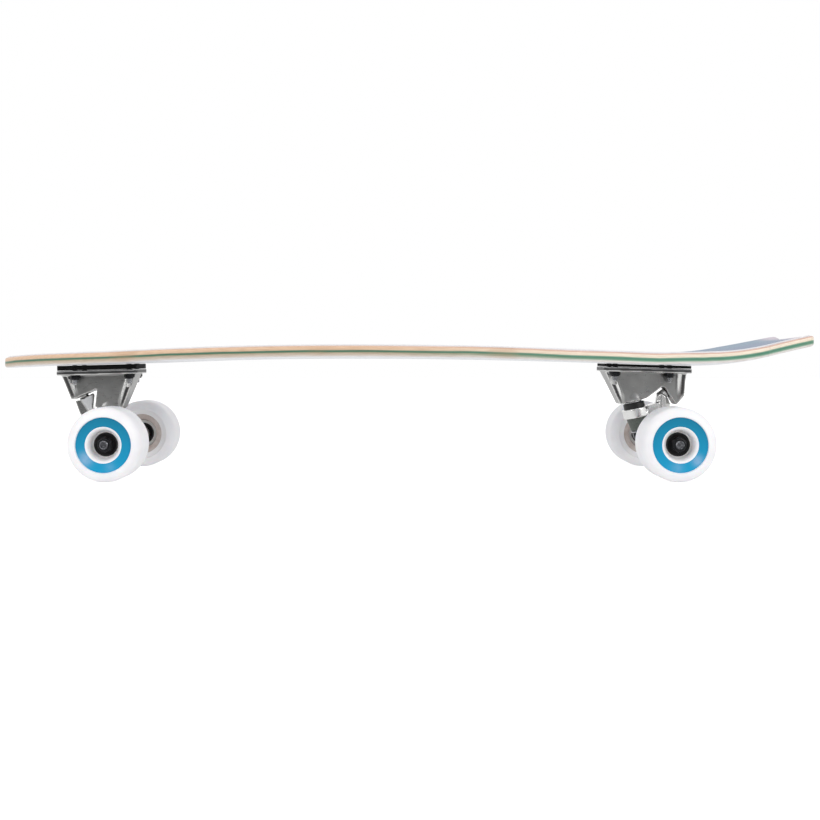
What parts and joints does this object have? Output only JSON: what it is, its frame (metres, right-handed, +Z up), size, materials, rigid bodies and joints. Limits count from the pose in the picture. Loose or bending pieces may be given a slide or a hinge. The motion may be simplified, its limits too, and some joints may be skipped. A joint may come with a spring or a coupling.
{
  "type": "surfskate",
  "caption": "Surfskate board with a cambered laminated kicktail deck, a deep-pivoting front surf truck, a kingpin rear truck and soft wheels on sealed bearings.",
  "frame": {"origin": "on the ground, under the middle of the deck's length and width", "axes": "+X along the board from nose to tail, +Y to the right-hand side of someone facing the nose, +Z up"},
  "size_m": [0.796, 0.2418, 0.1379],
  "materials": {
    "maple_laminate": "pressed maple ply with a dyed green layer, satin lacquer",
    "grip_film": "fine matt grip film in lavender blue",
    "black_rubber": "matt",
    "cast_aluminium": "as cast, dull grey",
    "polished_aluminium": "polished",
    "bright_steel": "bright zinc",
    "black_steel": "black oxide, satin",
    "black_urethane": "satin",
    "grey_urethane": "satin",
    "white_urethane": "smooth satin, with a plain blue ring printed on its outer face",
    "core_plastic": "moulded, satin",
    "sealed_bearing": "dark seals in a steel race"
  },
  "bodies": {
    "board": {"deck": "maple_laminate", "grip_sheet": "grip_film", "front_riser_pad": "black_rubber", "front_baseplate": "cast_aluminium", "front_pivot_cup": "black_urethane", "front_kingpin": "bright_steel", "front_kingpin_nut": "black_steel", "front_upper_bushing_washer": "bright_steel", "front_lower_bushing_washer": "bright_steel", "front_upper_bushing": "black_urethane", "front_lower_bushing": "grey_urethane", "front_bolt_1": "bright_steel", "front_bolt_2": "bright_steel", "front_bolt_3": "bright_steel", "front_bolt_4": "bright_steel", "front_bolt_nut_1": "black_steel", "front_bolt_nut_2": "black_steel", "front_bolt_nut_3": "black_steel", "front_bolt_nut_4": "black_steel", "rear_riser_pad": "black_rubber", "rear_baseplate": "cast_aluminium", "rear_pivot_cup": "black_urethane", "rear_kingpin": "bright_steel", "rear_kingpin_nut": "black_steel", "rear_upper_bushing_washer": "bright_steel", "rear_lower_bushing_washer": "bright_steel", "rear_upper_bushing": "black_urethane", "rear_lower_bushing": "grey_urethane", "rear_bolt_1": "bright_steel", "rear_bolt_2": "bright_steel", "rear_bolt_3": "bright_steel", "rear_bolt_4": "bright_steel", "rear_bolt_nut_1": "black_steel", "rear_bolt_nut_2": "black_steel", "rear_bolt_nut_3": "black_steel", "rear_bolt_nut_4": "black_steel"},
    "front_hanger_body": {"front_hanger": "polished_aluminium", "front_axle": "bright_steel", "front_left_axle_nut": "black_steel", "front_right_axle_nut": "black_steel"},
    "front_left_wheel": {"front_left_tyre": "white_urethane", "front_left_core": "core_plastic", "front_left_outer_bearing": "sealed_bearing", "front_left_inner_bearing": "sealed_bearing"},
    "front_right_wheel": {"front_right_tyre": "white_urethane", "front_right_core": "core_plastic", "front_right_outer_bearing": "sealed_bearing", "front_right_inner_bearing": "sealed_bearing"},
    "rear_hanger_body": {"rear_hanger": "polished_aluminium", "rear_axle": "bright_steel", "rear_left_axle_nut": "black_steel", "rear_right_axle_nut": "black_steel"},
    "rear_left_wheel": {"rear_left_tyre": "white_urethane", "rear_left_core": "core_plastic", "rear_left_outer_bearing": "sealed_bearing", "rear_left_inner_bearing": "sealed_bearing"},
    "rear_right_wheel": {"rear_right_tyre": "white_urethane", "rear_right_core": "core_plastic", "rear_right_outer_bearing": "sealed_bearing", "rear_right_inner_bearing": "sealed_bearing"}
  },
  "joints": [
    {"name": "front_steer", "type": "hinge", "parent": "board", "child": "front_hanger_body", "pos_m": [-0.29812, 0, 0.0535], "axis": [0.6422, 0, -0.7665], "range_deg": [-18, 18], "stiffness_Nm_per_rad": 32, "deforming": ["front_upper_bushing", "front_lower_bushing"]},
    {"name": "front_left_spin", "type": "hinge", "parent": "front_hanger_body", "child": "front_left_wheel", "pos_m": [-0.2752, -0.0945, 0.035], "axis": [0, 1, 0], "continuous": true},
    {"name": "front_right_spin", "type": "hinge", "parent": "front_hanger_body", "child": "front_right_wheel", "pos_m": [-0.2752, 0.0945, 0.035], "axis": [0, 1, 0], "continuous": true},
    {"name": "rear_steer", "type": "hinge", "parent": "board", "child": "rear_hanger_body", "pos_m": [0.2377, 0, 0.06052], "axis": [-0.8228, 0, -0.5684], "range_deg": [-14, 14], "stiffness_Nm_per_rad": 42, "deforming": ["rear_upper_bushing", "rear_lower_bushing"]},
    {"name": "rear_left_spin", "type": "hinge", "parent": "rear_hanger_body", "child": "rear_left_wheel", "pos_m": [0.2588, -0.0945, 0.035], "axis": [0, 1, 0], "continuous": true},
    {"name": "rear_right_spin", "type": "hinge", "parent": "rear_hanger_body", "child": "rear_right_wheel", "pos_m": [0.2588, 0.0945, 0.035], "axis": [0, 1, 0], "continuous": true}
  ]
}
